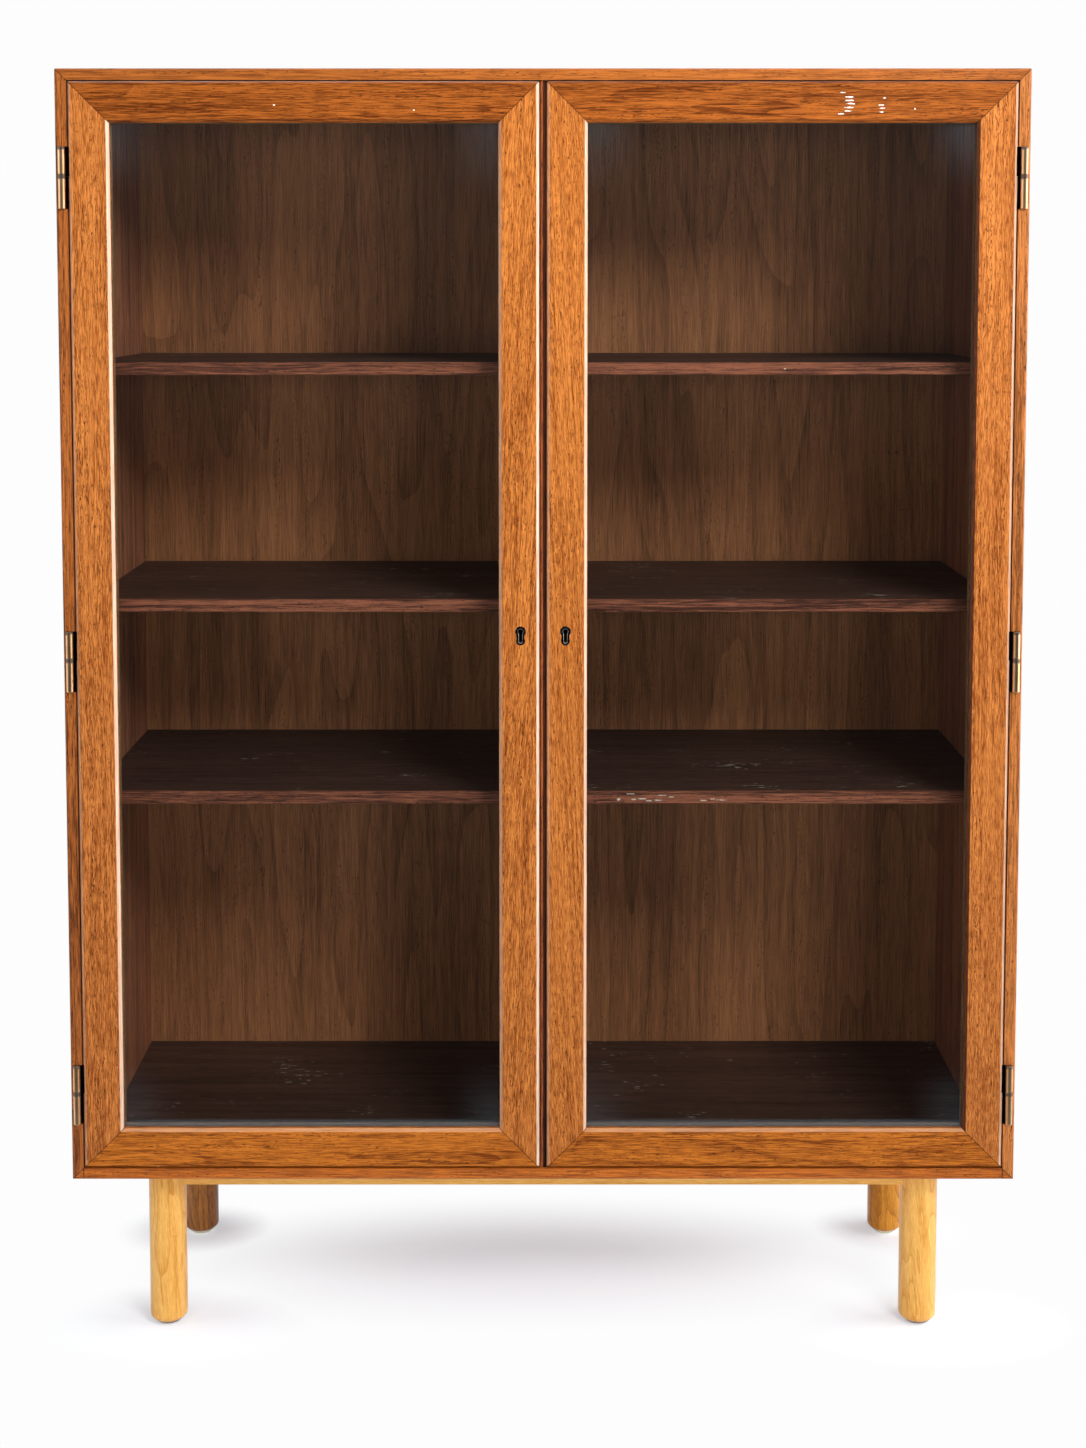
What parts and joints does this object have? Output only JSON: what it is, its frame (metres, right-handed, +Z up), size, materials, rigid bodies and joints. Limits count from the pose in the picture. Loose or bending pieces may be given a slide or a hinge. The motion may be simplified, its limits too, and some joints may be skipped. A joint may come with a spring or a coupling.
{
  "type": "glazed bookcase",
  "caption": "Glazed bookcase with mitred framed doors on lift-off barrel hinges, a centre partition and loose shelves, on a low base with round legs.",
  "frame": {"origin": "on the floor under the centre of the bookcase, midway between the hinge barrels in front and the back", "axes": "+X to the viewer's right, +Y from the front to the back, +Z up"},
  "size_m": [1.2, 0.4354, 1.615],
  "materials": {
    "case_teak": "oiled teak veneer and solid edging",
    "door_teak": "oiled solid teak",
    "inside_teak": "dark oiled teak veneer",
    "back_veneer": "dark veneered back",
    "oak": "lacquered oak",
    "dark_oak": "darker lacquered oak",
    "window_glass": "clear sheet glass",
    "brass": "polished brass, tarnished in places",
    "blued_steel": "blued steel",
    "lock_steel": "plain lock steel",
    "screw_steel": "plain screw steel",
    "cream_nylon": "cream nylon",
    "brown_nylon": "brown nylon"
  },
  "bodies": {
    "case": {"top_panel": "case_teak", "bottom_panel": "case_teak", "left_side": "case_teak", "right_side": "case_teak", "centre_partition": "inside_teak", "back_panel": "back_veneer", "top_edging": "case_teak", "bottom_edging": "case_teak", "left_edging": "case_teak", "right_edging": "case_teak", "centre_edging": "case_teak", "front_left_leg": "oak", "front_right_leg": "oak", "back_left_leg": "dark_oak", "back_right_leg": "oak", "front_rail": "oak", "back_rail": "oak", "left_rail": "oak", "right_rail": "oak", "front_glides": "brown_nylon", "back_feet": "cream_nylon", "base_screws": "screw_steel", "left_top_shelf": "inside_teak", "left_middle_shelf": "inside_teak", "left_low_shelf": "inside_teak", "right_top_shelf": "inside_teak", "right_middle_shelf": "inside_teak", "right_low_shelf": "inside_teak", "shelf_edgings": "inside_teak", "shelf_pins": "brass", "left_lower_knuckles": "brass", "right_lower_knuckles": "brass", "hinge_pins": "screw_steel", "case_hinge_screws": "brass", "strike_plates": "brass", "back_screws": "screw_steel"},
    "left_door": {"left_hinge_stile": "door_teak", "left_lock_stile": "door_teak", "left_top_rail": "door_teak", "left_bottom_rail": "door_teak", "left_glass": "window_glass", "left_glazing_beads": "door_teak", "left_lock_case": "lock_steel", "left_escutcheon": "blued_steel", "left_upper_knuckles": "brass", "left_door_screws": "brass"},
    "left_bolt": {"left_lock_bolt": "brass"},
    "right_door": {"right_hinge_stile": "door_teak", "right_lock_stile": "door_teak", "right_top_rail": "door_teak", "right_bottom_rail": "door_teak", "right_glass": "window_glass", "right_glazing_beads": "door_teak", "right_lock_case": "lock_steel", "right_escutcheon": "blued_steel", "right_upper_knuckles": "brass", "right_door_screws": "brass"},
    "right_bolt": {"right_lock_bolt": "brass"}
  },
  "joints": [
    {"name": "left_door_hinge", "type": "hinge", "parent": "case", "child": "left_door", "pos_m": [-0.5922, -0.2133, 0.881], "axis": [0, 0, -1], "range_deg": [0, 175]},
    {"name": "right_door_hinge", "type": "hinge", "parent": "case", "child": "right_door", "pos_m": [0.5922, -0.2133, 0.881], "axis": [0, 0, 1], "range_deg": [0, 175]},
    {"name": "left_bolt_slide", "type": "slide", "parent": "left_door", "child": "left_bolt", "axis": [1, 0, 0], "range_m": [0, 0.007]},
    {"name": "right_bolt_slide", "type": "slide", "parent": "right_door", "child": "right_bolt", "axis": [-1, 0, 0], "range_m": [0, 0.007]}
  ]
}
